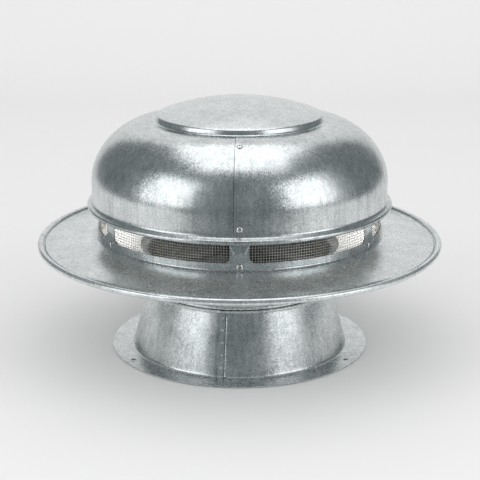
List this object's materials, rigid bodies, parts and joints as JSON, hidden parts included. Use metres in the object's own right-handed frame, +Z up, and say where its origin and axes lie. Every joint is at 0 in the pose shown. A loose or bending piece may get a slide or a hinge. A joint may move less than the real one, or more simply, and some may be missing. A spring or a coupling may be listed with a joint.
{
  "type": "solar attic fan",
  "caption": "Roof head of a solar attic fan: domed galvanised hood over a slotted vent ring, wide brim, flanged conical neck and a DC fan in the throat.",
  "frame": {"origin": "centre of the flange's underside", "axes": "+Z up along the fan's axis; -Y is the front, where the dome's lap seam is; the lead inlet is at +Y"},
  "size_m": [0.6599, 0.66, 0.4114],
  "materials": {
    "galvanised_sheet": "hot-dip galvanised, fine spangle",
    "edge_wire": "drawn wire",
    "wire_cloth": "woven galvanised wire, dull",
    "zinc_fastener": "bright zinc plated",
    "bracket_black": "satin black",
    "motor_black": "satin black",
    "lamination": "stacked laminations",
    "copper_wire": "enamelled copper",
    "magnet": "sintered, plated",
    "bearing_steel": "ground and polished",
    "shaft_steel": "ground",
    "hub_metal": "machined",
    "blade_black": "black anodised sheet",
    "switch_metal": "plated cup",
    "rubber_black": "moulded",
    "box_plastic": "fine texture",
    "clip_plastic": "natural nylon",
    "board_green": "solder mask",
    "terminal_green": "moulded",
    "lead_black": "extruded sheath",
    "lead_red": "extruded sheath",
    "black_oxide": "black oxide"
  },
  "bodies": {
    "head": {"neck": "galvanised_sheet", "throat_plate": "galvanised_sheet", "brim": "galvanised_sheet", "vent_ring": "galvanised_sheet", "dome": "galvanised_sheet", "crown_cap": "galvanised_sheet", "brim_edge_wire": "edge_wire", "dome_hem_wire": "edge_wire", "mesh_screen": "wire_cloth", "ring_screws": "zinc_fastener", "dome_rivets": "zinc_fastener", "bracket_rivets": "zinc_fastener", "motor_screws": "zinc_fastener", "box_screws": "zinc_fastener", "lid_screws": "zinc_fastener", "motor_bracket": "bracket_black", "motor_base": "motor_black", "motor_housing": "motor_black", "stator_core": "lamination", "stator_windings": "copper_wire", "bearing_outer_races": "bearing_steel", "thermal_switch": "switch_metal", "isolators": "rubber_black", "box_grommets": "rubber_black", "gland_insert": "rubber_black", "gland_washer": "rubber_black", "junction_box": "box_plastic", "box_lid": "box_plastic", "cable_gland": "box_plastic", "gland_cap": "box_plastic", "gland_locknut": "box_plastic", "lead_clips": "clip_plastic", "control_board": "board_green", "terminal_block": "terminal_green", "motor_lead": "lead_black", "switch_lead": "lead_red"},
    "fan": {"motor_shaft": "shaft_steel", "shaft_clip": "shaft_steel", "rotor_core": "lamination", "rotor_magnets": "magnet", "bearing_inner_races": "bearing_steel", "bearing_balls": "bearing_steel", "fan_hub": "hub_metal", "fan_blades": "blade_black", "blade_rivets": "zinc_fastener", "hub_set_screw": "black_oxide"}
  },
  "joints": [
    {"name": "fan_spin", "type": "hinge", "parent": "head", "child": "fan", "pos_m": [0, 0, 0.127], "axis": [0, 0, 1], "continuous": true}
  ]
}
